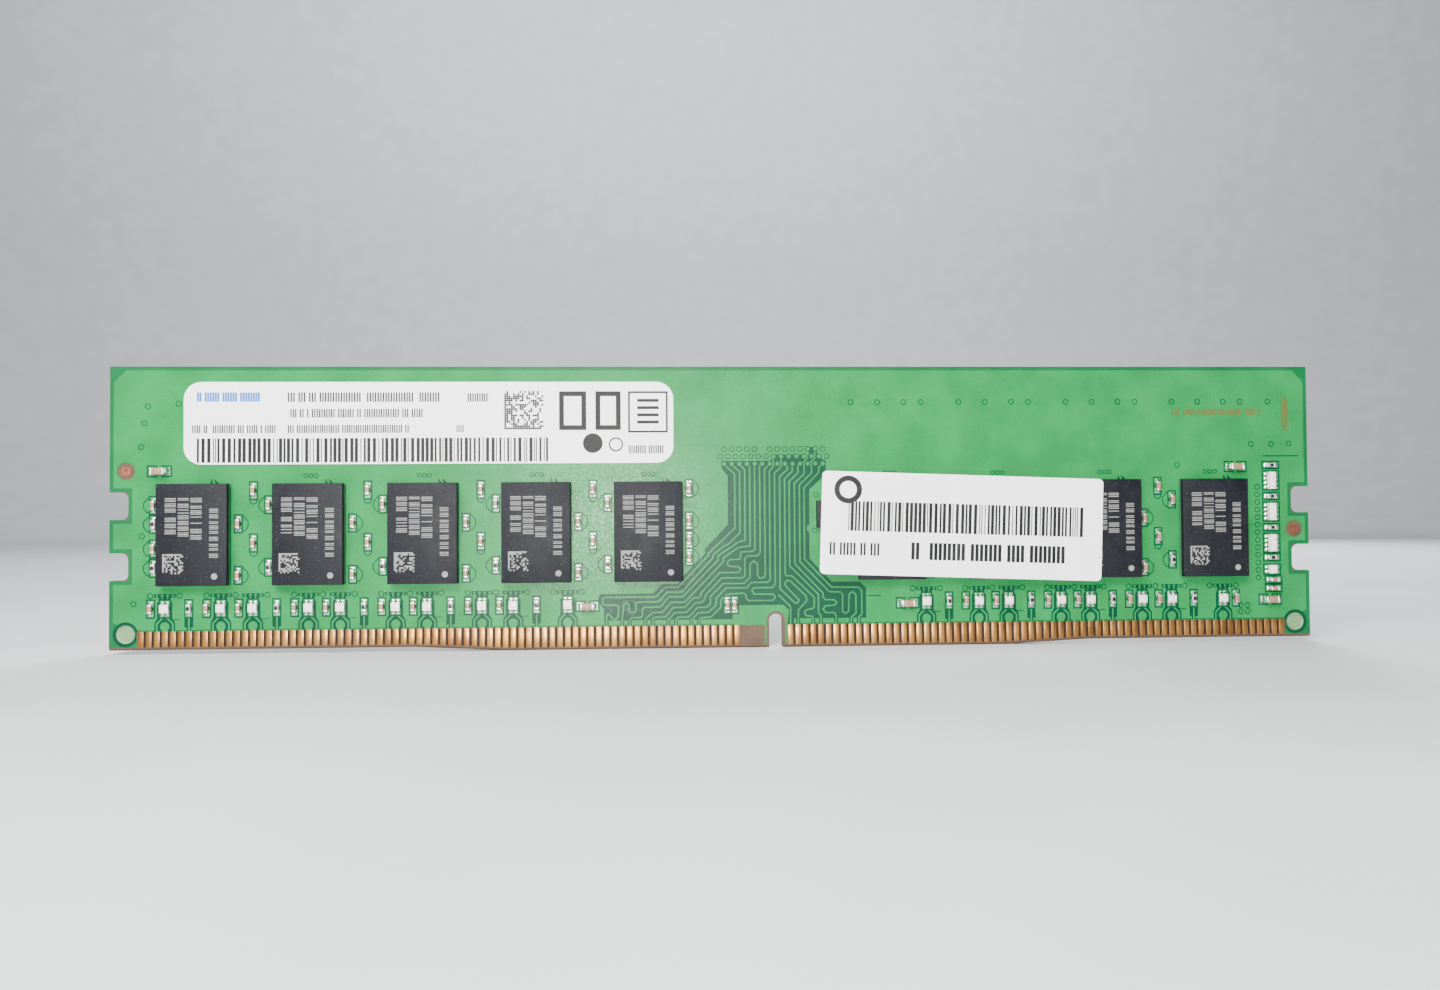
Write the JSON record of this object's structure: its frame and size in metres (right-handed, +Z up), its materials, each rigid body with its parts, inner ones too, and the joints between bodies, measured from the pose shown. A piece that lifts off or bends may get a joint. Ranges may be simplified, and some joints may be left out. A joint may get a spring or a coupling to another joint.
{
  "type": "ram module",
  "caption": "Flat memory module card with gold edge contacts on both faces, a key slot, latch notches in both ends, and a row of black memory packages with small chip parts.",
  "frame": {"origin": "middle of the card edge: on the lowest edge line, midway between the two ends and midway through the card's thickness", "axes": "+X along the card to the right as seen from the component side; +Z up, away from the contact edge; -Y out of the component side"},
  "size_m": [0.1334, 0.0032, 0.0312],
  "materials": {
    "array_coat": "white glass overcoat",
    "capacitor_ceramic": "tan barium titanate ceramic",
    "copper": "plain copper",
    "gold_contacts": "hard gold plate, satin",
    "label_paper": "white coated label stock",
    "laminate": "bare glass-epoxy laminate, satin, cut edge",
    "package_mould": "black moulding compound, fine matt",
    "package_substrate": "green package substrate",
    "resistor_coat": "black glass overcoat",
    "silicon": "silicon die",
    "solder": "reflowed solder, bright",
    "solder_mask": "glossy green solder mask over copper",
    "terminals": "tin-plated chip terminals",
    "tinned_copper": "tin-plated lands",
    "white_ceramic": "white alumina"
  },
  "bodies": {
    "root": {"alignment_dots": "copper", "back_contacts": "gold_contacts", "back_laminate": "laminate", "back_pads": "tinned_copper", "back_solder": "solder", "back_solder_mask": "solder_mask", "bulk_capacitor_bodies": "capacitor_ceramic", "bulk_capacitor_end_caps": "terminals", "capacitor_bodies": "capacitor_ceramic", "capacitor_end_caps": "terminals", "data_array_bodies": "white_ceramic", "data_array_overcoats": "array_coat", "data_array_terminals": "terminals", "dram_1_balls": "solder", "dram_1_mould": "package_mould", "dram_1_substrate": "package_substrate", "dram_2_balls": "solder", "dram_2_mould": "package_mould", "dram_2_substrate": "package_substrate", "dram_3_balls": "solder", "dram_3_mould": "package_mould", "dram_3_substrate": "package_substrate", "dram_4_balls": "solder", "dram_4_mould": "package_mould", "dram_4_substrate": "package_substrate", "dram_5_balls": "solder", "dram_5_mould": "package_mould", "dram_5_substrate": "package_substrate", "dram_6_balls": "solder", "dram_6_mould": "package_mould", "dram_6_substrate": "package_substrate", "dram_7_balls": "solder", "dram_7_mould": "package_mould", "dram_7_substrate": "package_substrate", "dram_8_balls": "solder", "dram_8_mould": "package_mould", "dram_8_substrate": "package_substrate", "dram_9_balls": "solder", "dram_9_mould": "package_mould", "dram_9_substrate": "package_substrate", "dram_dies": "silicon", "front_contacts": "gold_contacts", "front_laminate": "laminate", "front_pads": "tinned_copper", "front_solder": "solder", "front_solder_mask": "solder_mask", "ground_plane": "copper", "maker_label": "label_paper", "part_label": "label_paper", "plated_vias": "copper", "resistor_bodies": "white_ceramic", "resistor_overcoats": "resistor_coat", "resistor_terminals": "terminals", "sensor_body": "package_mould", "sensor_pads": "tinned_copper", "termination_array_bodies": "white_ceramic", "termination_array_overcoats": "array_coat", "termination_array_terminals": "terminals"}
  },
  "joints": []
}
